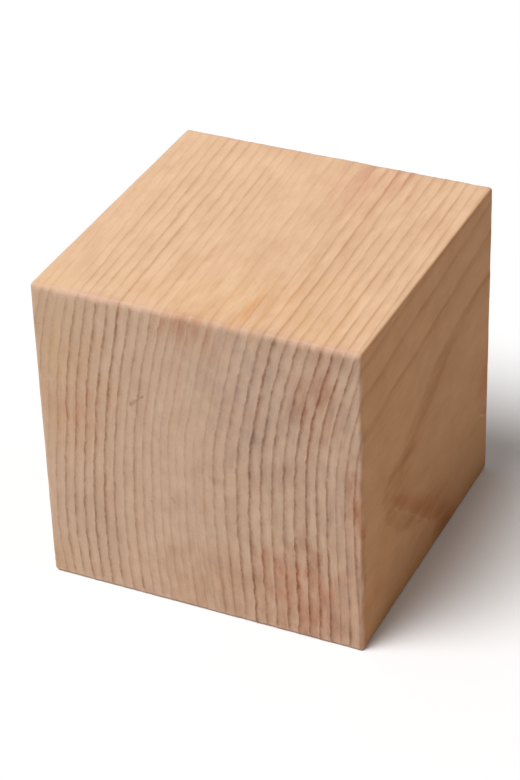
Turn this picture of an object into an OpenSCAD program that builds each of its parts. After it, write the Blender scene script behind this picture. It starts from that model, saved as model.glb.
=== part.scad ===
// Solid wooden cube, sawn from one piece of softwood, with its sharp edges lightly sanded off.
// The grain runs front to back, so the end grain shows on the front and on the back.
// The block stands on z = 0, centred on x = 0 and y = 0.

/* [Block] */
// Width across the grain, left to right
block_width = 50; // [20:1:200]
// Length with the grain, front to back
block_length = 50; // [20:1:200]
// Height across the grain, bottom to top
block_height = 50; // [20:1:200]

/* [Edges] */
// Radius on the four edges that run with the grain
long_edge_radius = 0.5; // [0.2:0.1:5]
// Radius on the eight edges around the end grain
end_edge_radius = 0.4; // [0.2:0.1:5]

/* [Hidden] */
// Segments in a full circle
$fn = 64;

// Rectangle with its corners rounded, centred on the origin
module rounded_outline(across, along, radius) {
    square([across - 2 * radius, along], center = true);
    square([across, along - 2 * radius], center = true);
    for (side = [-1, 1], end = [-1, 1])
        translate([side * (across / 2 - radius), end * (along / 2 - radius)])
            circle(radius);
}

// Outline seen along the grain, as long as the block
module end_grain_prism() {
    rotate([90, 0, 0])
        linear_extrude(block_length, center = true)
            rounded_outline(block_width, block_height, long_edge_radius);
}

// Outline seen from the side, as wide as the block
module side_prism() {
    rotate([90, 0, 90])
        linear_extrude(block_width, center = true)
            rounded_outline(block_length, block_height, end_edge_radius);
}

// Outline seen from above, as high as the block
module plan_prism() {
    linear_extrude(block_height, center = true)
        rounded_outline(block_width, block_length, end_edge_radius);
}

// What the three outlines share is the cube with all twelve edges rounded
module block() {
    color("burlywood")
        translate([0, 0, block_height / 2])
            intersection() {
                end_grain_prism();
                side_prism();
                plan_prism();
            }
}

block();
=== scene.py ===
import math

import bpy
from bpy.props import FloatProperty, FloatVectorProperty, PointerProperty
from mathutils import Matrix, Vector


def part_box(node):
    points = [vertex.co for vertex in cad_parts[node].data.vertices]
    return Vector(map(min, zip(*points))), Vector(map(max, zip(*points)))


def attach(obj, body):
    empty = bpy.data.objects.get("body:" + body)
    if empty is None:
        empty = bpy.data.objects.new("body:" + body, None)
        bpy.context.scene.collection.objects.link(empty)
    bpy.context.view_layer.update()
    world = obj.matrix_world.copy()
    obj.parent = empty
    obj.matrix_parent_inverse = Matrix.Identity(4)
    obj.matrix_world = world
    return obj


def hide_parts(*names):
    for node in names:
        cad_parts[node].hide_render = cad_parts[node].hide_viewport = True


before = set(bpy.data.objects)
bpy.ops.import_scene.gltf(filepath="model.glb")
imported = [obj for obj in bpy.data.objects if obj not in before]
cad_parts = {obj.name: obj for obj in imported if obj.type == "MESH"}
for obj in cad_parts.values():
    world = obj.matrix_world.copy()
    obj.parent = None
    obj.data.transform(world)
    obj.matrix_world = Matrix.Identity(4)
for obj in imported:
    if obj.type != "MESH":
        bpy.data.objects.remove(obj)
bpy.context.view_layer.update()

bl_info = {
    "name": "Wooden Cube",
    "version": (1, 0, 0),
    "blender": (4, 5, 0),
    "location": "3D View > Sidebar > Wooden Cube",
    "description": "Builds a sawn softwood cube with its growth rings and worn edges, and a studio for it",
    "category": "Add Mesh",
}

LOW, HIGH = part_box("block")
MIDDLE = (LOW + HIGH) / 2
MM = 0.001

# Growth from the bark side in: how deep each stretch is in mm, how far apart its rings
# are in mm, and how dark its late wood is, from 0 to 1.
GROWTH = (
    (8.0, 1.35, 0.35),
    (12.9, 1.65, 0.82),
    (11.1, 1.445, 0.26),
    (7.5, 1.75, 0.74),
    (10.6, 1.71, 0.97),
    (6.0, 1.505, 0.68),
    (6.0, 1.85, 0.86),
)
GROWTH_DEPTH = sum(stretch for stretch, width, dark in GROWTH)
# How far outside the left face the first stretch begins, in mm
GROWTH_STARTS = 6.75
# One ring from its outer edge in, as (part of the ring, how much of it is late wood):
# the late wood ends sharply at its outer edge and fades slowly into the early wood.
RING_PROFILE = (
    (0.0, 0.42), (0.05, 0.95), (0.1, 1.0), (0.17, 0.82), (0.27, 0.4), (0.42, 0.14),
    (0.62, 0.0), (0.92, 0.0), (1.0, 0.42),
)
# Rings are told apart half way through their early wood
RING_HALF = 0.25
# How dark one ring is beside its stretch, and one place on it beside the ring, at the least
# and at the most
RING_RANGE = (0.6, 1.2)
PLACE_RANGE = (0.42, 1.3)
# The kinks fade towards the right side, from this share of the way out from the middle, down
# to this share of their size
KINKS_FADE_FROM = 0.6
KINKS_LEFT = 0.4
# The late wood as each way of cutting shows it: the higher the power, the thinner its lines,
# and the higher the second number, the darker they are.
LATE_POWER = {"end": 1.0, "quartered": 1.15, "flat": 1.1}
LATE_SHOWN = {"end": 1.0, "quartered": 0.47, "flat": 0.85}
# What the mottle multiplies the wood by, at its darkest and at its palest
MOTTLE = ((0.93, 0.89, 0.87, 1.0), (1.04, 1.06, 1.07, 1.0))

# Stains that the wood holds: middle in mm, reach in mm, the colour that they multiply the
# wood by, and how strong they are.
STAINS = (
    # Front end grain: a cooler, darker right part, partly its denser rings and partly painted shade where
    # the light falls off, resin-red patches, lilac and brown ones
    ((33.0, -26.0, 20.0), (46.0, 2.5, 70.0), "#D6D2D6", 1.0),
    ((16.5, -25.0, 8.0), (10.5, 16.0, 12.0), "#EEBFA1", 1.0),
    ((18.0, -25.0, 41.5), (5.0, 20.0, 9.0), "#EFCDBC", 0.9),
    ((10.0, -25.0, 40.0), (11.0, 4.0, 16.0), "#F0F3FF", 1.0),
    ((-1.0, -25.0, 47.5), (7.5, 2.0, 5.0), "#E6CBB9", 0.9),
    ((1.5, -25.0, 4.5), (12.0, 4.0, 10.0), "#E8D9CE", 1.0),
    ((-18.0, -25.0, 33.0), (8.0, 8.0, 11.0), "#F3DACD", 0.60),
    ((-17.5, -25.0, 9.5), (8.0, 5.0, 9.0), "#EEF2F0", 0.80),
    ((-24.0, -25.0, 2.5), (4.5, 3.0, 6.0), "#EBDCB4", 0.60),
    ((25.2, -25.5, 23.5), (3.2, 2.5, 12.0), "#E8A983", 1.0),
    ((2.7, -25.0, 23.7), (1.6, 0.8, 1.0), "#B9BFB4", 0.45),
    ((-22.0, -25.0, 38.0), (10.0, 5.0, 20.0), "#FFFCEC", 1.0),
    ((-19.5, -25.0, 28.0), (3.0, 3.0, 4.5), "#F6DED0", 0.60),
    # Top: a pinkish patch at the back, a resin mark at the front, a duller right half, a
    # yellower front corner and a lilac front edge
    ((8.5, 19.5, 50.0), (9.0, 10.0, 2.0), "#F8EAF0", 1.0),
    ((6.3, -21.0, 50.0), (1.2, 6.0, 1.0), "#FAD09A", 1.0),
    ((11.0, 4.0, 50.0), (26.0, 60.0, 3.0), "#F2EDEA", 1.0),
    ((8.0, -20.0, 50.0), (22.0, 15.0, 3.0), "#FEF7E6", 1.0),
    ((0.0, -25.4, 50.4), (45.0, 2.6, 1.6), "#F6F1FF", 1.0),
    # Right side: the red back edge, and a brown foot at its front corner, which is painted shade where it
    # meets the floor
    ((25.5, 24.6, 18.0), (3.0, 4.6, 10.5), "#F3C6B0", 1.0),
    ((25.0, -24.0, 2.0), (3.0, 6.0, 5.0), "#F0D6B0", 0.50),
)
# Marks drawn out in a line: start and end in mm, half width at each in mm, colour,
# strength, and whether the colour multiplies the wood or covers it.
STREAKS = (
    # Right side: a paler foot, which is painted light against the floor's shade there and also covers a dark
    # late band, the two arms of the pointed ring, a scratch by the lower one and another at the back edge
    ((25.0, 11.0, 4.0), (25.0, 22.0, 4.5), (4.5, 5.0), "#BA8C62", 0.60, "MIX"),
    ((25.0, -10.5, 22.6), (25.0, 7.5, 31.3), (1.5, 1.0), "#E9D6B4", 0.50, "MULTIPLY"),
    ((25.0, -14.0, 19.8), (25.0, 9.5, 1.0), (0.8, 3.2), "#F4D5C0", 0.55, "MULTIPLY"),
    ((25.0, -13.0, 17.2), (25.0, 4.5, 2.5), (0.3, 0.35), "#CFA47C", 0.22, "MIX"),
    ((25.0, 21.5, 11.8), (25.0, 25.0, 9.8), (0.25, 0.3), "#E0B890", 0.55, "MIX"),
    # Front end grain: a dark scratch and two small pits
    ((-9.9, -25.0, 33.7), (-7.7, -25.0, 35.6), (0.45, 0.2), "#7A5238", 0.55, "MIX"),
    ((-4.4, -25.0, 18.9), (-4.0, -25.0, 18.3), (0.4, 0.3), "#8A705C", 0.40, "MIX"),
    ((-7.8, -25.0, 17.2), (-7.6, -25.0, 16.4), (0.3, 0.2), "#8A6248", 0.45, "MIX"),
)

# How the mesh is divided, as (axis, cuts): its cells are narrow across the rings and long
# where the wood hardly changes.
CUTS = ((0, 94), (0, 2), (1, 55), (2, 83))
BEVEL_SEGMENTS = 5
# An edge is straight when this share of its length or more runs along one axis
STRAIGHT = 0.9999
# The wear of an edge or a corner is felt this far away from it, in mm
WEAR_REACH = 2.5
# The handling rounds the edges by up to this many times their least radius
HANDLING = 1.6
# Of the wear around the end grain, the share that the upright edges get, and the least share
# that is left where it comes and goes
UPRIGHT_SHARE = 0.35
LEAST_SHARE = 0.4
# The crumbled rim around the end grain: how much narrower it is where the edge follows one
# ring, how far it comes and goes, the width over which it fades, all in mm, and its strength.
RIM_NARROWER = 0.45
RIM_RAGGED = 2.4
RIM_FADES = 1.1
RIM_STRENGTH = 0.8
# How ragged the edges of a stain and of a streak are, as a share of its reach or width
STAIN_RAGGED = 1.3
STREAK_RAGGED = 1.6
# How squarely a face looks along an axis when it starts to count as cut that way, and when
# it counts fully
FACING = (0.35, 0.85)
ROUGHNESS = {"early": 0.8, "late": 0.72}


def linear(code, alpha=None):
    """The linear colour of an sRGB hex code, with a fourth number if alpha is given."""
    parts = [int(code[i : i + 2], 16) / 255 for i in (1, 3, 5)]
    parts = [c / 12.92 if c <= 0.04045 else ((c + 0.055) / 1.055) ** 2.4 for c in parts]
    return tuple(parts) if alpha is None else (*parts, alpha)


def per_mm(x, y, z):
    """The scaling that gives a pattern one feature every x, y and z mm."""
    return (1 / x, 1 / y, 1 / z)


def half_size(block):
    """Half the size of the block, in mm."""
    return Vector(block.size) / 2 / MM


class WoodenCubeBlock(bpy.types.PropertyGroup):
    size: FloatVectorProperty(
        name="Size", description="Width, length along the grain and height",
        default=HIGH - LOW, subtype="XYZ_LENGTH", unit="LENGTH",
    )
    bevel: FloatProperty(
        name="Bevel", description="How far in from each edge the mesh is made fine",
        default=0.8 * MM, unit="LENGTH",
    )
    edge_radius: FloatProperty(
        name="Edge radius", description="Least radius of the sanded edges",
        default=0.27 * MM, unit="LENGTH",
    )
    corner_radius: FloatProperty(
        name="Corner radius", description="Radius that the handling adds at the corners",
        default=0.05 * MM, unit="LENGTH",
    )
    soft_wear: FloatProperty(
        name="Soft wear", description="How much further the early wood is worn on an edge",
        default=0.09 * MM, unit="LENGTH",
    )
    end_wear: FloatProperty(
        name="End wear", description="How much further the edges around the end grain are worn",
        default=0.42 * MM, unit="LENGTH",
    )
    relief: FloatProperty(
        name="Relief", description="How far the early wood lies below the late wood",
        default=0.006 * MM, unit="LENGTH",
    )


class WoodenCubeGrain(bpy.types.PropertyGroup):
    pith_distance: FloatProperty(
        name="Pith distance", description="From the middle of the block to the heart of the tree",
        default=117 * MM, unit="LENGTH",
    )
    pith_height: FloatProperty(
        name="Pith height", description="Height of the heart above the bottom face",
        default=17.0 * MM, unit="LENGTH",
    )
    pith_lift: FloatProperty(
        name="Pith lift", description="How much higher the rings turn towards the heart, per unit across",
        default=0.12,
    )
    pith_tilt: FloatProperty(
        name="Pith tilt", description="Angle between the grain and the long edges",
        default=math.radians(2.9), subtype="ANGLE", unit="ROTATION",
    )
    spread: FloatProperty(
        name="Spread", description="How much more the grain leans at the left than at the right",
        default=math.radians(2.3), subtype="ANGLE", unit="ROTATION",
    )
    slant: FloatProperty(
        name="Slant", description="How far the rings lean below the heart, at the right side, per unit down",
        default=0.022,
    )
    wander: FloatProperty(
        name="Wander", description="How far the rings drift from a true circle",
        default=1.1 * MM, unit="LENGTH",
    )
    unevenness: FloatProperty(
        name="Unevenness", description="How ragged each ring is",
        default=0.36 * MM, unit="LENGTH",
    )


class WoodenCubeColours(bpy.types.PropertyGroup):
    early_end: FloatVectorProperty(
        name="End grain", description="Early wood cut across",
        default=linear("#C0A28A"), subtype="COLOR", min=0, max=1,
    )
    early_side: FloatVectorProperty(
        name="Quartered side", description="Early wood cut along, square to the rings",
        default=linear("#DAB796"), subtype="COLOR", min=0, max=1,
    )
    # The flat side's early wood is darker and warmer than the quartered side's: partly the wood's own
    # colour, partly painted shade of a side turned away from the key light
    early_flat_and_shade: FloatVectorProperty(
        name="Flat side", description="Early wood cut along, flat to the rings",
        default=linear("#B8885D"), subtype="COLOR", min=0, max=1,
    )
    crumbled: FloatVectorProperty(
        name="Worn edge", description="The crumbled edges around the end grain",
        default=linear("#CDAC94"), subtype="COLOR", min=0, max=1,
    )
    fibre_tint: FloatVectorProperty(
        name="Fibre tint", description="What a dark fleck multiplies the colour by",
        default=linear("#DCC6AE"), subtype="COLOR", min=0, max=1,
    )
    late_tint: FloatVectorProperty(
        name="Late wood tint", description="What the late wood multiplies the colour by",
        default=linear("#C5AF9C"), subtype="COLOR", min=0, max=1,
    )
    late_flat: FloatVectorProperty(
        name="Flat late wood tint", description="The same where it is cut flat, in broad bands",
        default=linear("#D9C28D"), subtype="COLOR", min=0, max=1,
    )


class WoodenCubeStudio(bpy.types.PropertyGroup):
    azimuth: FloatProperty(
        name="Azimuth", description="Turn of the camera to the right",
        default=math.radians(25.8), subtype="ANGLE", unit="ROTATION",
    )
    elevation: FloatProperty(
        name="Elevation", description="How high the camera looks down from",
        default=math.radians(33.3), subtype="ANGLE", unit="ROTATION",
    )
    roll: FloatProperty(
        name="Roll", description="Roll of the camera",
        default=math.radians(-1.9), subtype="ANGLE", unit="ROTATION",
    )
    distance: FloatProperty(
        name="Distance", description="From the middle of the cube to the camera",
        default=374 * MM, unit="LENGTH",
    )
    aim: FloatVectorProperty(
        name="Aim", description="How far right and up of the view's middle the cube is",
        size=2, default=(1.75 * MM, 1.45 * MM), unit="LENGTH",
    )
    lens: FloatProperty(
        name="Lens", description="Focal length in mm on a 36 mm frame",
        default=116.5,
    )
    key_towards: FloatVectorProperty(
        name="Key direction", description="From the cube to the key light: high, in front and to the left",
        default=(-0.28, -0.36, 0.9), subtype="DIRECTION",
    )
    key_strength: FloatProperty(
        name="Key", description="Strength of the key light",
        default=3.2,
    )
    key_colour: FloatVectorProperty(
        name="Key colour", description="Colour of the key light, barely warm",
        default=(1.0, 0.985, 0.96), subtype="COLOR", min=0, max=1,
    )
    key_softness: FloatProperty(
        name="Key softness", description="How wide the key light looks from the cube",
        default=math.radians(30), subtype="ANGLE", unit="ROTATION",
    )
    fill_strength: FloatProperty(
        name="Fill", description="Brightness of the room",
        default=0.33,
    )
    fill_right: FloatVectorProperty(
        name="Fill at the right", description="What the room is dimmed and warmed by to the right",
        default=linear("#E7D4BF"), subtype="COLOR", min=0, max=1,
    )
    floor_radius: FloatProperty(
        name="Floor radius", description="Radius of the floor",
        default=12.0, unit="LENGTH",
    )


class WoodenCubeSettings(bpy.types.PropertyGroup):
    block: PointerProperty(type=WoodenCubeBlock)
    grain: PointerProperty(type=WoodenCubeGrain)
    colours: PointerProperty(type=WoodenCubeColours)
    studio: PointerProperty(type=WoodenCubeStudio)


def add(tree, kind, inputs=None, out=0, **settings):
    """Adds a node, with its settings and with each input set or linked, and returns an output."""
    made = tree.nodes.new(kind)
    for name, value in settings.items():
        setattr(made, name, value)
    for key, value in (inputs or {}).items():
        if isinstance(value, bpy.types.NodeSocket):
            tree.links.new(value, made.inputs[key])
        else:
            made.inputs[key].default_value = value
    return made.outputs[out] if len(made.outputs) else None


def shape_curve(socket, points):
    """Gives the curve node behind a socket its points, which run from 0 to 1 both ways."""
    mapping = socket.node.mapping
    curve = mapping.curves[0]
    curve.points[0].location = points[0]
    curve.points[1].location = points[-1]
    for point in points[1:-1]:
        curve.points.new(*point)
    mapping.update()
    return socket


def ring_field(tree, place, grain):
    """Links the growth rings for a place in mm, and returns (share, count).

    The share is how far in from the outermost ring the place lies, from 0 to 1, and the
    count is the number of rings passed on the way.
    """
    # The rings drift slowly from a true circle, and each has its own small kinks
    slow = add(tree, "ShaderNodeVectorMath", {0: place, 1: per_mm(21, 80, 21)}, operation="MULTIPLY")
    slow = add(tree, "ShaderNodeTexNoise", {"Vector": slow, "Scale": 1.0, "Detail": 1.0, "Roughness": 0.4})
    slow = add(tree, "ShaderNodeMapRange", {
        "Value": slow, "To Min": -grain.wander / MM, "To Max": grain.wander / MM,
    }, clamp=False)
    kinks = add(tree, "ShaderNodeVectorMath", {0: place, 1: per_mm(1.4, 8, 2.3)}, operation="MULTIPLY")
    kinks = add(tree, "ShaderNodeTexNoise", {
        "Vector": kinks, "Scale": 1.0, "Detail": 3.0, "Roughness": 0.66,
    })
    # Nearer the heart the tree grew more evenly
    parts = add(tree, "ShaderNodeSeparateXYZ", {0: place}).node
    uneven = add(tree, "ShaderNodeMapRange", {
        "Value": parts.outputs["X"], "From Min": KINKS_FADE_FROM * HIGH.x / MM, "From Max": HIGH.x / MM,
        "To Min": grain.unevenness / MM, "To Max": KINKS_LEFT * grain.unevenness / MM,
    })
    kinks = add(tree, "ShaderNodeMath", {0: kinks, 1: 2.0, 2: -1.0}, operation="MULTIPLY_ADD")
    wander = add(tree, "ShaderNodeMath", {0: kinks, 1: uneven, 2: slow}, operation="MULTIPLY_ADD")

    # Across from the heart, whose line leans with the grain, more at the left side
    across = add(tree, "ShaderNodeVectorMath", {
        0: place, 1: (-1.0, -math.tan(grain.pith_tilt), 0.0),
    }, out=1, operation="DOT_PRODUCT")
    spread = math.tan(grain.spread) * MM / (HIGH.x - LOW.x)
    fan = add(tree, "ShaderNodeMath", {0: parts.outputs["X"], 1: parts.outputs["Y"]}, operation="MULTIPLY")
    across = add(tree, "ShaderNodeMath", {0: fan, 1: spread, 2: across}, operation="MULTIPLY_ADD")
    across = add(tree, "ShaderNodeMath", {0: across, 1: grain.pith_distance / MM}, operation="ADD")

    # Up from the heart. Towards the right, the rings below it run straight and slanting.
    up = add(tree, "ShaderNodeVectorMath", {
        0: place, 1: (-grain.pith_lift, 0.0, 1.0),
    }, out=1, operation="DOT_PRODUCT")
    up = add(tree, "ShaderNodeMath", {0: up, 1: grain.pith_height / MM}, operation="SUBTRACT")
    straight = add(tree, "ShaderNodeMapRange", {
        "Value": parts.outputs["X"], "From Min": LOW.x / MM, "From Max": HIGH.x / MM,
    })
    below = add(tree, "ShaderNodeMath", {0: up, 1: 0.0}, operation="MINIMUM")
    below = add(tree, "ShaderNodeMath", {0: below, 1: straight}, operation="MULTIPLY")
    up = add(tree, "ShaderNodeMath", {0: up, 1: below}, operation="SUBTRACT")

    radius = add(tree, "ShaderNodeCombineXYZ", {"X": across, "Y": up})
    radius = add(tree, "ShaderNodeVectorMath", {0: radius}, out=1, operation="LENGTH")
    radius = add(tree, "ShaderNodeMath", {0: below, 1: -grain.slant, 2: radius}, operation="MULTIPLY_ADD")
    radius = add(tree, "ShaderNodeMath", {0: radius, 1: wander}, operation="ADD")
    outermost = (grain.pith_distance - LOW.x) / MM + GROWTH_STARTS
    depth = add(tree, "ShaderNodeMath", {0: outermost, 1: radius}, operation="SUBTRACT")

    rings = sum(stretch / width for stretch, width, dark in GROWTH)
    points, deep, passed = [(0.0, 0.0)], 0.0, 0.0
    for stretch, width, dark in GROWTH:
        deep, passed = deep + stretch, passed + stretch / width
        points.append((deep / GROWTH_DEPTH, passed / rings))
    share = add(tree, "ShaderNodeMath", {0: depth, 1: GROWTH_DEPTH}, operation="DIVIDE")
    count = shape_curve(add(tree, "ShaderNodeFloatCurve", {"Value": share}), points)
    count = add(tree, "ShaderNodeMath", {0: count, 1: rings}, operation="MULTIPLY")
    return share, count


def late_wood(tree, place, grain):
    """Links the late wood at a place in mm, and returns (how much it is, the ring count)."""
    share, count = ring_field(tree, place, grain)
    part = add(tree, "ShaderNodeMath", {0: count}, operation="FRACT")
    late = shape_curve(add(tree, "ShaderNodeFloatCurve", {"Value": part}), RING_PROFILE)

    # Each stretch of growth has its own darkness, which holds at its middle, and so has each ring
    points, deep = [(0.0, GROWTH[0][2])], 0.0
    for stretch, width, dark in GROWTH:
        points.append(((deep + stretch / 2) / GROWTH_DEPTH, dark))
        deep += stretch
    points.append((1.0, GROWTH[-1][2]))
    dark = shape_curve(add(tree, "ShaderNodeFloatCurve", {"Value": share}), points)
    ring = add(tree, "ShaderNodeMath", {0: count, 1: RING_HALF}, operation="ADD")
    ring = add(tree, "ShaderNodeMath", {0: ring}, operation="FLOOR")
    ring = add(tree, "ShaderNodeTexWhiteNoise", {"W": ring}, noise_dimensions="1D")
    ring = add(tree, "ShaderNodeMapRange", {
        "Value": ring, "To Min": RING_RANGE[0], "To Max": RING_RANGE[1],
    })
    late = add(tree, "ShaderNodeMath", {0: late, 1: dark}, operation="MULTIPLY")
    late = add(tree, "ShaderNodeMath", {0: late, 1: ring}, operation="MULTIPLY")

    # A ring is never equally dark along its whole length
    along = add(tree, "ShaderNodeVectorMath", {0: place, 1: per_mm(1.2, 13, 1.9)}, operation="MULTIPLY")
    along = add(tree, "ShaderNodeTexNoise", {"Vector": along, "Scale": 1.0, "Detail": 3.0, "Roughness": 0.6})
    along = add(tree, "ShaderNodeMapRange", {
        "Value": along, "From Min": 0.32, "From Max": 0.66,
        "To Min": PLACE_RANGE[0], "To Max": PLACE_RANGE[1],
    })
    return add(tree, "ShaderNodeMath", {0: late, 1: along}, operation="MULTIPLY"), count


def fibred(tree, wood, place, ringwise, end, tint):
    """Links the wood's colour with its fibres, canals and mottle, and returns (it, the fibres).

    In ringwise, X counts rings, and Y and Z are the place's own. End is 1 on the end grain.
    """
    # Cut fibres: short dashes on the sides and specks on the end grain, drawn about ten times
    # as wide as real ones so that they show
    fibres = add(tree, "ShaderNodeVectorMath", {
        0: place, 1: per_mm(0.34, 2.8, 0.34),
    }, operation="MULTIPLY")
    fibres = add(tree, "ShaderNodeTexNoise", {
        "Vector": fibres, "Scale": 1.0, "Detail": 2.0, "Roughness": 0.6,
    })
    fleck = add(tree, "ShaderNodeMapRange", {
        "Value": fibres, "From Min": 0.5, "From Max": 0.25, "To Min": 0.0, "To Max": 0.2,
    })
    # Resin canals: thin dashes, darker and further apart
    canals = add(tree, "ShaderNodeVectorMath", {0: place, 1: per_mm(1.1, 5.5, 1.1)}, operation="MULTIPLY")
    canals = add(tree, "ShaderNodeTexVoronoi", {"Vector": canals, "Scale": 1.0, "Randomness": 1.0})
    canal = add(tree, "ShaderNodeMapRange", {
        "Value": canals, "From Min": 0.22, "From Max": 0.06, "To Min": 0.0, "To Max": 0.17,
    }, interpolation_type="SMOOTHSTEP")
    dark = add(tree, "ShaderNodeMath", {0: fleck, 1: canal}, operation="ADD", use_clamp=True)
    wood = add(tree, "ShaderNodeMix", {
        0: dark, 6: wood, 7: (*tint, 1.0),
    }, out=2, data_type="RGBA", blend_type="MULTIPLY")
    # Mottle: warm and cool patches, broken up by the hand that sanded them
    mottle = add(tree, "ShaderNodeVectorMath", {0: place, 1: per_mm(2.8, 7.0, 4.5)}, operation="MULTIPLY")
    mottle = add(tree, "ShaderNodeTexNoise", {
        "Vector": mottle, "Scale": 1.0, "Detail": 4.0, "Roughness": 0.62,
    })
    mottle = add(tree, "ShaderNodeMapRange", {"Value": mottle, "From Min": 0.3, "From Max": 0.7})
    mottle = add(tree, "ShaderNodeMix", {0: mottle, 6: MOTTLE[0], 7: MOTTLE[1]}, out=2, data_type="RGBA")
    wood = add(tree, "ShaderNodeVectorMath", {0: wood, 1: mottle}, operation="MULTIPLY")
    # Fine lines between the rings, about 0.3 mm apart, where the growth slowed and picked up
    slowed = add(tree, "ShaderNodeVectorMath", {0: ringwise, 1: per_mm(0.2, 30, 9)}, operation="MULTIPLY")
    slowed = add(tree, "ShaderNodeTexNoise", {"Vector": slowed, "Scale": 1.0, "Detail": 2.0})
    slowed = add(tree, "ShaderNodeMapRange", {
        "Value": slowed, "From Min": 0.3, "From Max": 0.7, "To Min": -0.04, "To Max": 0.035,
    })
    shown = add(tree, "ShaderNodeMapRange", {"Value": end, "To Min": 0.3, "To Max": 1.0})
    slowed = add(tree, "ShaderNodeMath", {0: slowed, 1: shown, 2: 1.0}, operation="MULTIPLY_ADD")
    return add(tree, "ShaderNodeVectorMath", {0: wood, "Scale": slowed}, operation="SCALE"), fibres


def rimmed(tree, wood, place, settings):
    """Links the wood's colour with the pale, crumbled rim around the end grain.

    The crumbled fibres scatter the light. The rim is worked out from a depth in mm, which is 0 at
    the edges of the end grain and less by each mm away from them, over the end grain or along it.
    """
    half, crumbled = half_size(settings.block), settings.colours.crumbled
    depth = add(tree, "ShaderNodeVectorMath", {0: place, 1: MIDDLE / MM}, operation="SUBTRACT")
    depth = add(tree, "ShaderNodeVectorMath", {0: depth}, operation="ABSOLUTE")
    depth = add(tree, "ShaderNodeVectorMath", {0: depth, 1: half}, operation="SUBTRACT")
    depth = add(tree, "ShaderNodeSeparateXYZ", {0: depth}).node
    side = add(tree, "ShaderNodeMath", {0: depth.outputs["X"], 1: RIM_NARROWER}, operation="SUBTRACT")
    side = add(tree, "ShaderNodeMath", {0: side, 1: depth.outputs["Z"]}, operation="MAXIMUM")
    depth = add(tree, "ShaderNodeMath", {0: side, 1: depth.outputs["Y"]}, operation="ADD")
    crumbs = add(tree, "ShaderNodeVectorMath", {0: place, 1: per_mm(0.9, 0.9, 4.0)}, operation="MULTIPLY")
    crumbs = add(tree, "ShaderNodeTexNoise", {"Vector": crumbs, "Scale": 1.0, "Detail": 3.0})
    depth = add(tree, "ShaderNodeMath", {0: crumbs, 1: RIM_RAGGED, 2: depth}, operation="MULTIPLY_ADD")
    rim = add(tree, "ShaderNodeMapRange", {
        "Value": depth, "From Min": 0.0, "From Max": RIM_FADES, "To Min": 0.0, "To Max": RIM_STRENGTH,
    }, interpolation_type="SMOOTHSTEP")
    return add(tree, "ShaderNodeMix", {0: rim, 6: wood, 7: (*crumbled, 1.0)}, out=2, data_type="RGBA")


def stained(tree, wood, place, ringwise, late):
    """Links the wood's colour with its stains and marks laid over it."""
    # Broken edges, drawn out along the fibres and the rings
    broken = add(tree, "ShaderNodeVectorMath", {0: place, 1: per_mm(3.0, 7.0, 3.0)}, operation="MULTIPLY")
    broken = add(tree, "ShaderNodeTexNoise", {"Vector": broken, "Scale": 1.0, "Detail": 3.0}, out=1)
    broken = add(tree, "ShaderNodeVectorMath", {0: broken, 1: (0.5, 0.5, 0.5)}, operation="SUBTRACT")
    streaks = add(tree, "ShaderNodeVectorMath", {
        0: ringwise, 1: per_mm(0.7, 12.0, 6.0),
    }, operation="MULTIPLY")
    streaks = add(tree, "ShaderNodeTexNoise", {"Vector": streaks, "Scale": 1.0, "Detail": 3.0})
    streaks = add(tree, "ShaderNodeMapRange", {
        "Value": streaks, "From Min": 0.35, "From Max": 0.62, "To Min": 0.25, "To Max": 1.0,
    })
    # The late wood takes more of a stain than the early wood
    taken = add(tree, "ShaderNodeMapRange", {"Value": late, "To Min": 0.75, "To Max": 1.15})
    taken = add(tree, "ShaderNodeMath", {0: taken, 1: streaks}, operation="MULTIPLY")

    wide = add(tree, "ShaderNodeVectorMath", {0: broken, "Scale": STAIN_RAGGED}, operation="SCALE")
    for middle, reach, colour, strength in STAINS:
        away = add(tree, "ShaderNodeVectorMath", {0: place, 1: middle}, operation="SUBTRACT")
        away = add(tree, "ShaderNodeVectorMath", {0: away, 1: per_mm(*reach)}, operation="MULTIPLY")
        away = add(tree, "ShaderNodeVectorMath", {0: away, 1: wide}, operation="ADD")
        away = add(tree, "ShaderNodeVectorMath", {0: away}, out=1, operation="LENGTH")
        amount = add(tree, "ShaderNodeMapRange", {
            "Value": away, "From Min": 0.1, "From Max": 1.1, "To Min": strength, "To Max": 0.0,
        }, interpolation_type="SMOOTHSTEP")
        amount = add(tree, "ShaderNodeMath", {0: amount, 1: taken}, operation="MULTIPLY", use_clamp=True)
        wood = add(tree, "ShaderNodeMix", {
            0: amount, 6: wood, 7: linear(colour, 1.0),
        }, out=2, data_type="RGBA", blend_type="MULTIPLY")

    close = add(tree, "ShaderNodeVectorMath", {0: broken, "Scale": STREAK_RAGGED}, operation="SCALE")
    for start, finish, widths, colour, strength, blend in STREAKS:
        start, run = Vector(start), Vector(finish) - Vector(start)
        away = add(tree, "ShaderNodeVectorMath", {0: place, 1: start}, operation="SUBTRACT")
        part = add(tree, "ShaderNodeVectorMath", {
            0: away, 1: run / run.length_squared,
        }, out=1, operation="DOT_PRODUCT")
        part = add(tree, "ShaderNodeClamp", {0: part})
        width = add(tree, "ShaderNodeMapRange", {"Value": part, "To Min": widths[0], "To Max": widths[1]})
        nearest = add(tree, "ShaderNodeVectorMath", {0: run, "Scale": part}, operation="SCALE")
        away = add(tree, "ShaderNodeVectorMath", {0: away, 1: nearest}, operation="SUBTRACT")
        away = add(tree, "ShaderNodeVectorMath", {0: away, 1: close}, operation="ADD")
        away = add(tree, "ShaderNodeVectorMath", {0: away}, out=1, operation="LENGTH")
        away = add(tree, "ShaderNodeMath", {0: away, 1: width}, operation="DIVIDE")
        amount = add(tree, "ShaderNodeMapRange", {
            "Value": away, "From Min": 0.1, "From Max": 1.3, "To Min": strength, "To Max": 0.0,
        }, interpolation_type="SMOOTHSTEP")
        wood = add(tree, "ShaderNodeMix", {
            0: amount, 6: wood, 7: linear(colour, 1.0),
        }, out=2, data_type="RGBA", blend_type=blend)
    return wood


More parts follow.
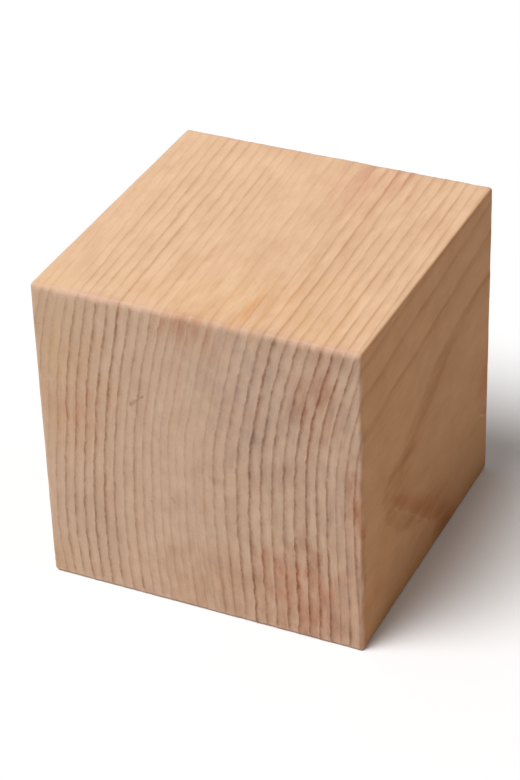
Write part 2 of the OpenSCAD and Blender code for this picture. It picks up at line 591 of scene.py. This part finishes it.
def softwood(settings):
    """Pine-like softwood, planed on the sides, sawn across the ends and lightly sanded.

    It gives the eye pale early wood between darker late wood lines: fine and close on the
    end grain, straight on the quartered faces, broad and soft on the flat ones. The finish is
    dull, with no varnish.
    """
    grain, colours = settings.grain, settings.colours
    material = bpy.data.materials.new("Sanded softwood")
    material.use_nodes = True
    tree = material.node_tree
    tree.nodes.clear()

    coordinates = add(tree, "ShaderNodeTexCoord").node
    place = add(tree, "ShaderNodeVectorMath", {
        0: coordinates.outputs["Object"], "Scale": 1 / MM,
    }, operation="SCALE")
    late, count = late_wood(tree, place, grain)
    parts = add(tree, "ShaderNodeSeparateXYZ", {0: place}).node
    ringwise = add(tree, "ShaderNodeCombineXYZ", {
        "X": count, "Y": parts.outputs["Y"], "Z": parts.outputs["Z"],
    })

    # Which way the face is cut: end is 1 on the end grain, and flat is 1 on the flat-sawn sides
    facing = add(tree, "ShaderNodeVectorMath", {0: coordinates.outputs["Normal"]}, operation="ABSOLUTE")
    facing = add(tree, "ShaderNodeSeparateXYZ", {0: facing}).node
    end, flat = (
        add(tree, "ShaderNodeMapRange", {
            "Value": facing.outputs[axis], "From Min": FACING[0], "From Max": FACING[1],
        }, interpolation_type="SMOOTHSTEP")
        for axis in ("Y", "X")
    )
    wood = add(tree, "ShaderNodeMix", {
        0: end, 6: (*colours.early_side, 1.0), 7: (*colours.early_end, 1.0),
    }, out=2, data_type="RGBA")
    # On the flat-sawn sides this mix lays in their darker colour, which is partly painted shade
    wood = add(tree, "ShaderNodeMix", {
        0: flat, 6: wood, 7: (*colours.early_flat_and_shade, 1.0),
    }, out=2, data_type="RGBA")

    # The late wood shows most on the end grain, in thin lines on the quartered faces, and
    # in wide bands on the flat-sawn ones
    by_cut = []
    for cut in (LATE_POWER, LATE_SHOWN):
        value = add(tree, "ShaderNodeMapRange", {
            "Value": end, "To Min": cut["quartered"], "To Max": cut["end"],
        })
        by_cut.append(add(tree, "ShaderNodeMath", {
            0: flat, 1: cut["flat"] - cut["quartered"], 2: value,
        }, operation="MULTIPLY_ADD"))
    shown = add(tree, "ShaderNodeMath", {0: late, 1: by_cut[0]}, operation="POWER")
    shown = add(tree, "ShaderNodeMath", {0: shown, 1: by_cut[1]}, operation="MULTIPLY", use_clamp=True)
    tint = add(tree, "ShaderNodeMix", {
        0: flat, 6: (*colours.late_tint, 1.0), 7: (*colours.late_flat, 1.0),
    }, out=2, data_type="RGBA")
    wood = add(tree, "ShaderNodeMix", {0: shown, 6: wood, 7: tint}, out=2, data_type="RGBA",
               blend_type="MULTIPLY")
    wood, fibres = fibred(tree, wood, place, ringwise, end, colours.fibre_tint)
    wood = rimmed(tree, wood, place, settings)
    wood = stained(tree, wood, place, ringwise, late)

    # The denser late wood is a little less dull
    gloss = add(tree, "ShaderNodeMapRange", {
        "Value": late, "To Min": ROUGHNESS["early"], "To Max": ROUGHNESS["late"],
    })
    bumps = add(tree, "ShaderNodeBump", {"Strength": 0.5, "Distance": 0.04 * MM, "Height": fibres})
    surface = add(tree, "ShaderNodeBsdfPrincipled", {
        "Base Color": wood, "Roughness": gloss, "Normal": bumps, "IOR": 1.5, "Specular IOR Level": 0.3,
    })
    add(tree, "ShaderNodeOutputMaterial", {"Surface": surface})
    return material


def edge_radius(tree, place, offset, early, block):
    """Links the radius of the edges in mm.

    It is least where the wood is hard, more where it is soft and at a corner, and most around
    the end grain. The offset is the place less the middle of the block.
    """
    # Along each axis: 1 at the ends of the block, falling to 0 at the reach of the wear
    near = add(tree, "ShaderNodeVectorMath", {0: offset}, operation="ABSOLUTE")
    near = add(tree, "ShaderNodeVectorMath", {
        0: near, 1: half_size(block) - Vector((WEAR_REACH,) * 3),
    }, operation="SUBTRACT")
    near = add(tree, "ShaderNodeVectorMath", {0: near, 1: (0.0, 0.0, 0.0)}, operation="MAXIMUM")
    near = add(tree, "ShaderNodeVectorMath", {0: near, "Scale": 1 / WEAR_REACH}, operation="SCALE")
    near = add(tree, "ShaderNodeSeparateXYZ", {0: near}).node
    corner = add(tree, "ShaderNodeMath", {0: near.outputs["X"], 1: near.outputs["Y"]}, operation="MULTIPLY")
    corner = add(tree, "ShaderNodeMath", {0: corner, 1: near.outputs["Z"]}, operation="MULTIPLY")

    handling = add(tree, "ShaderNodeTexNoise", {"Vector": place, "Scale": 1 / 5.0, "Detail": 4.0})
    radius = add(tree, "ShaderNodeMapRange", {
        "Value": handling, "From Min": 0.3, "From Max": 0.7,
        "To Min": block.edge_radius / MM, "To Max": HANDLING * block.edge_radius / MM,
    })
    soft = add(tree, "ShaderNodeMath", {0: early, 1: block.soft_wear / MM}, operation="MULTIPLY")
    worn = add(tree, "ShaderNodeMath", {0: corner, 1: block.corner_radius / MM}, operation="MULTIPLY")
    radius = add(tree, "ShaderNodeMath", {0: radius, 1: soft}, operation="ADD")
    radius = add(tree, "ShaderNodeMath", {0: radius, 1: worn}, operation="ADD")
    # More is gone from the edges around the end grain, where the fibres crumble, but not at
    # the corners, which stay crisp
    ends = add(tree, "ShaderNodeMath", {0: near.outputs["X"], 1: UPRIGHT_SHARE}, operation="MULTIPLY")
    ends = add(tree, "ShaderNodeMath", {0: ends, 1: near.outputs["Z"]}, operation="MAXIMUM")
    ends = add(tree, "ShaderNodeMath", {0: ends, 1: near.outputs["Y"]}, operation="MULTIPLY")
    crumbs = add(tree, "ShaderNodeTexNoise", {"Vector": place, "Scale": 1 / 2.4, "Detail": 3.0})
    crumbs = add(tree, "ShaderNodeMapRange", {
        "Value": crumbs, "From Min": 0.3, "From Max": 0.7,
        "To Min": LEAST_SHARE * block.end_wear / MM, "To Max": block.end_wear / MM,
    })
    ends = add(tree, "ShaderNodeMath", {0: ends, 1: crumbs}, operation="MULTIPLY")
    crisp = add(tree, "ShaderNodeMath", {0: 1.0, 1: corner}, operation="SUBTRACT")
    ends = add(tree, "ShaderNodeMath", {0: ends, 1: crisp}, operation="MULTIPLY")
    return add(tree, "ShaderNodeMath", {0: radius, 1: ends}, operation="ADD")


def worn_surface(settings):
    """A geometry node tree that rounds the edges, wears them, and lowers the early wood."""
    block, grain = settings.block, settings.grain
    tree = bpy.data.node_groups.new("Worn wood", "GeometryNodeTree")
    for in_out in ("INPUT", "OUTPUT"):
        tree.interface.new_socket("Geometry", in_out=in_out, socket_type="NodeSocketGeometry")
    half, middle = half_size(block), MIDDLE / MM

    place = add(tree, "GeometryNodeInputPosition")
    place = add(tree, "ShaderNodeVectorMath", {0: place, "Scale": 1 / MM}, operation="SCALE")
    late, _ = late_wood(tree, place, grain)
    early = add(tree, "ShaderNodeMath", {0: 1.0, 1: late}, operation="SUBTRACT", use_clamp=True)
    offset = add(tree, "ShaderNodeVectorMath", {0: place, 1: middle}, operation="SUBTRACT")
    radius = edge_radius(tree, place, offset, early, block)

    # Each point is carried out from an inner box by the radius, less the relief
    reach = add(tree, "ShaderNodeVectorMath", {0: half, 1: radius}, operation="SUBTRACT")
    inner = add(tree, "ShaderNodeVectorMath", {0: offset, 1: reach}, operation="MINIMUM")
    back = add(tree, "ShaderNodeVectorMath", {0: reach, "Scale": -1.0}, operation="SCALE")
    inner = add(tree, "ShaderNodeVectorMath", {0: inner, 1: back}, operation="MAXIMUM")
    out = add(tree, "ShaderNodeVectorMath", {0: offset, 1: inner}, operation="SUBTRACT")
    out = add(tree, "ShaderNodeVectorMath", {0: out}, operation="NORMALIZE")
    relief = add(tree, "ShaderNodeMath", {0: early, 1: block.relief / MM}, operation="MULTIPLY")
    length = add(tree, "ShaderNodeMath", {0: radius, 1: relief}, operation="SUBTRACT")
    out = add(tree, "ShaderNodeVectorMath", {0: out, "Scale": length}, operation="SCALE")
    moved = add(tree, "ShaderNodeVectorMath", {0: inner, 1: out}, operation="ADD")
    moved = add(tree, "ShaderNodeVectorMath", {0: moved, 1: middle}, operation="ADD")
    moved = add(tree, "ShaderNodeVectorMath", {0: moved, "Scale": MM}, operation="SCALE")

    given = add(tree, "NodeGroupInput")
    shaped = add(tree, "GeometryNodeSetPosition", {"Geometry": given, "Position": moved})
    add(tree, "NodeGroupOutput", {0: shaped})
    return tree


def select_runs(mesh, axis, block):
    """Selects the edges that run straight along one axis between the rounded corners."""
    reach = (block.size[axis] - block.bevel) / 2
    for edge in mesh.edges:
        start, finish = (mesh.vertices[i].co for i in edge.vertices)
        run = finish - start
        straight = abs(run[axis]) > STRAIGHT * run.length
        edge.select = straight and abs((start[axis] + finish[axis]) / 2 - MIDDLE[axis]) < reach


class WOODENCUBE_OT_block(bpy.types.Operator):
    """Models the block, wears its edges, lowers its early wood and gives it its wood"""

    bl_idname = "woodencube.block"
    bl_label = "Build Block"

    def execute(self, context):
        settings = context.scene.wooden_cube
        bpy.ops.object.select_all(action="DESELECT")
        bpy.ops.mesh.primitive_cube_add(size=1, location=MIDDLE, scale=settings.block.size)
        block = context.object
        block.name = block.data.name = "softwood_block"
        bpy.ops.object.transform_apply(location=True, rotation=False, scale=True)
        bpy.ops.object.mode_set(mode="EDIT")
        bpy.ops.mesh.select_mode(type="EDGE")
        bpy.ops.mesh.select_all(action="SELECT")
        bpy.ops.mesh.bevel(offset=settings.block.bevel, segments=BEVEL_SEGMENTS, profile=0.5, affect="EDGES")
        for axis, cuts in CUTS:
            bpy.ops.mesh.select_all(action="DESELECT")
            bpy.ops.object.mode_set(mode="OBJECT")
            select_runs(block.data, axis, settings.block)
            bpy.ops.object.mode_set(mode="EDIT")
            bpy.ops.mesh.subdivide(number_cuts=cuts)
        bpy.ops.mesh.select_all(action="SELECT")
        bpy.ops.mesh.normals_make_consistent(inside=False)
        bpy.ops.object.mode_set(mode="OBJECT")
        bpy.ops.object.modifier_add(type="NODES")
        block.modifiers[-1].node_group = worn_surface(settings)
        bpy.ops.object.modifier_apply(modifier=block.modifiers[-1].name)
        bpy.ops.object.shade_smooth()
        block.data.materials.append(softwood(settings))
        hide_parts("block")
        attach(block, "root")
        return {"FINISHED"}


def place_camera(context, studio):
    """Stands the camera back from the cube, turned, raised and rolled."""
    turn, rise = studio.azimuth, studio.elevation
    back = Vector((math.sin(turn) * math.cos(rise), -math.cos(turn) * math.cos(rise), math.sin(rise)))
    right = Vector((math.cos(turn), math.sin(turn), 0.0))
    up = back.cross(right)
    right, up = (
        math.cos(studio.roll) * right + math.sin(studio.roll) * up,
        math.cos(studio.roll) * up - math.sin(studio.roll) * right,
    )
    eye = MIDDLE + studio.distance * back - studio.aim[0] * right - studio.aim[1] * up
    look = Matrix((right, up, back)).transposed().to_euler()
    bpy.ops.object.camera_add(location=eye, rotation=look)
    context.object.data.lens = studio.lens
    context.object.data.clip_start = 10 * MM
    context.scene.camera = context.object


def lay_floor(context, studio):
    """Lays a wide round floor of matt paper, which bounces a little light back."""
    bpy.ops.mesh.primitive_circle_add(vertices=96, radius=studio.floor_radius, fill_type="NGON")
    floor = context.object
    floor.name = "floor"
    paper = bpy.data.materials.new("Matt white paper")
    paper.use_nodes = True
    shader = paper.node_tree.nodes["Principled BSDF"]
    shader.inputs["Base Color"].default_value = linear("#ECEEF2", 1.0)
    shader.inputs["Roughness"].default_value = 0.9
    shader.inputs["Specular IOR Level"].default_value = 0.2
    floor.data.materials.append(paper)


def light_room(context, studio):
    """Hangs one big soft key light and gives the room a dim glow."""
    look = Vector(studio.key_towards).to_track_quat("Z", "Y").to_euler()
    bpy.ops.object.light_add(type="SUN", rotation=look)
    key = context.object
    key.name = "key_light"
    key.data.energy = studio.key_strength
    key.data.angle = studio.key_softness
    key.data.color = studio.key_colour

    world = bpy.data.worlds.new("Pale room")
    context.scene.world = world
    world.use_nodes = True
    tree = world.node_tree
    tree.nodes.clear()
    # The room is dimmer and warmer to the right, and plain white where the camera sees it
    white = linear("#FFFFFF", 1.0)
    towards = add(tree, "ShaderNodeTexCoord")
    towards = add(tree, "ShaderNodeSeparateXYZ", {0: towards})
    side = add(tree, "ShaderNodeMapRange", {"Value": towards, "From Min": -0.4, "From Max": 0.9})
    lit = add(tree, "ShaderNodeMix", {
        0: side, 6: white, 7: (*studio.fill_right, 1.0),
    }, out=2, data_type="RGBA")
    lit = add(tree, "ShaderNodeVectorMath", {0: lit, "Scale": studio.fill_strength}, operation="SCALE")
    seen = add(tree, "ShaderNodeLightPath")
    room = add(tree, "ShaderNodeMix", {0: seen, 6: lit, 7: white}, out=2, data_type="RGBA")
    room = add(tree, "ShaderNodeBackground", {"Color": room})
    add(tree, "ShaderNodeOutputWorld", {"Surface": room})


class WOODENCUBE_OT_stage(bpy.types.Operator):
    """Places the camera, lays the pale floor and sets the soft lights"""

    bl_idname = "woodencube.stage"
    bl_label = "Set Studio"

    def execute(self, context):
        studio = context.scene.wooden_cube.studio
        place_camera(context, studio)
        lay_floor(context, studio)
        light_room(context, studio)
        context.scene.view_settings.view_transform = "Standard"
        return {"FINISHED"}


class WOODENCUBE_PT_panel(bpy.types.Panel):
    """Lists the steps that build the cube and its studio"""

    bl_idname = "WOODENCUBE_PT_panel"
    bl_label = "Wooden Cube"
    bl_space_type = "VIEW_3D"
    bl_region_type = "UI"
    bl_category = "Wooden Cube"

    def draw(self, context):
        settings = context.scene.wooden_cube
        for group in (settings.block, settings.grain, settings.colours, settings.studio):
            box = self.layout.box()
            for name in group.__annotations__:
                box.prop(group, name)
        for step in STEPS:
            self.layout.operator(step.bl_idname)


STEPS = (WOODENCUBE_OT_block, WOODENCUBE_OT_stage)
CLASSES = (
    WoodenCubeBlock, WoodenCubeGrain, WoodenCubeColours, WoodenCubeStudio, WoodenCubeSettings,
    *STEPS, WOODENCUBE_PT_panel,
)


def register():
    for cls in CLASSES:
        bpy.utils.register_class(cls)
    bpy.types.Scene.wooden_cube = PointerProperty(type=WoodenCubeSettings)


def unregister():
    del bpy.types.Scene.wooden_cube
    for cls in reversed(CLASSES):
        bpy.utils.unregister_class(cls)


def main():
    register()
    bpy.ops.woodencube.block()
    bpy.ops.woodencube.stage()


if __name__ == "__main__":
    main()
